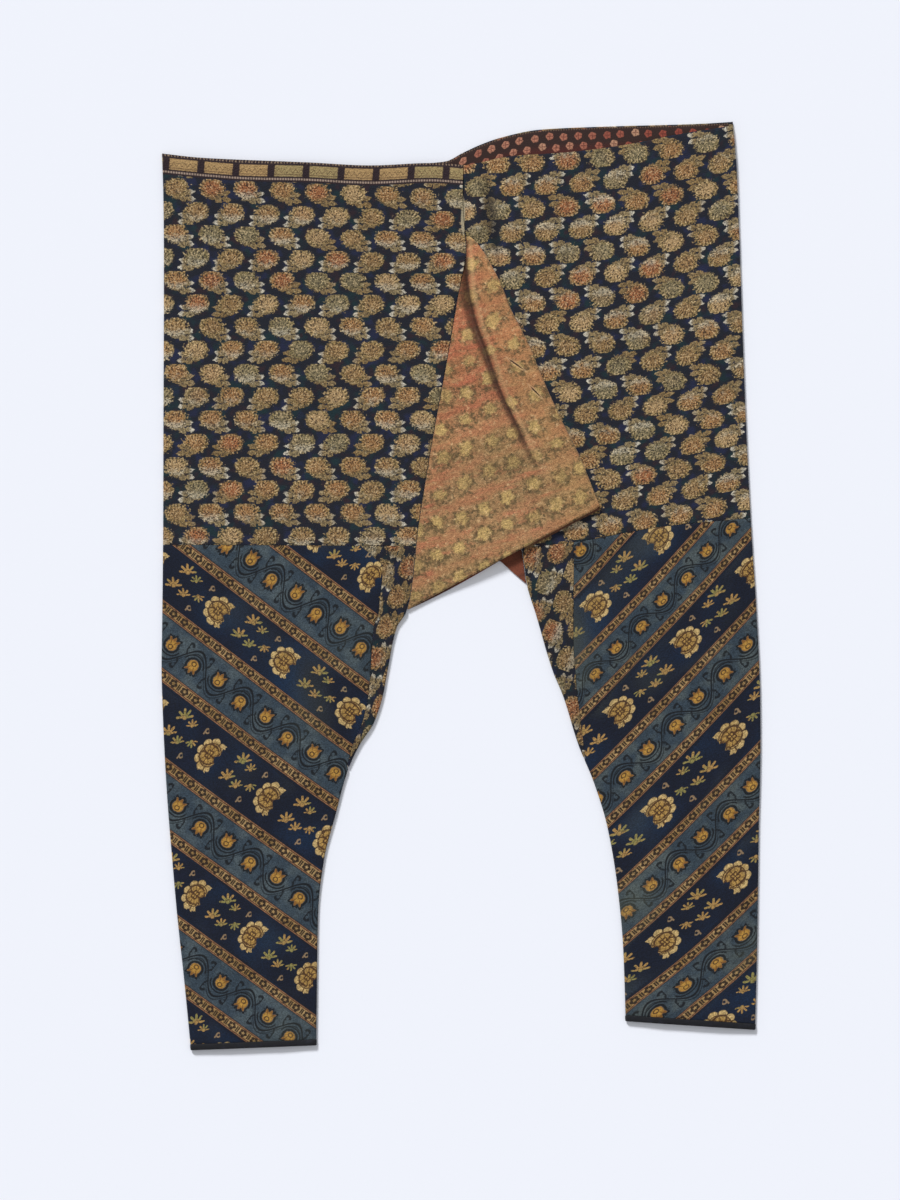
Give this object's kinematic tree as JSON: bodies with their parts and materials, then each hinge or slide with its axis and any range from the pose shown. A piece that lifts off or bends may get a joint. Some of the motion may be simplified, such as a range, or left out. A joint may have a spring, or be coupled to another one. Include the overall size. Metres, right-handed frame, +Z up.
{
  "type": "trousers",
  "caption": "Wide-waisted women's trousers laid flat: patterned upper legs, striped tapering calves, inner-leg gores, a pleated crotch gusset and narrow bound hems.",
  "frame": {"origin": "centre of the bounding box at its lowest level: the middle of the trousers on the surface they lie on", "axes": "+Z up off the surface, through the garment's front; +Y from the hems to the waist; +X to the right as seen from above"},
  "size_m": [0.6144, 0.952, 0.0116],
  "materials": {
    "floral_cloth": "near-black printed cotton with small flower sprigs, matt",
    "striped_cloth": "blue and navy cloth with slanted flowered stripes, matt",
    "gusset_cloth": "faded salmon-red printed cloth, worn, matt",
    "facing_cloth": "dark brown cloth with red dots, matt",
    "binding_cloth": "near-black binding, slightly silky"
  },
  "bodies": {
    "root": {"left_upper_leg": "floral_cloth", "right_upper_leg": "floral_cloth", "left_calf": "striped_cloth", "right_calf": "striped_cloth", "left_gore": "floral_cloth", "right_gore": "floral_cloth", "gusset_front": "gusset_cloth", "gusset_tuck": "gusset_cloth", "gusset_back": "gusset_cloth", "waist_facing": "facing_cloth", "left_hem_binding": "binding_cloth", "right_hem_binding": "binding_cloth"}
  },
  "joints": []
}
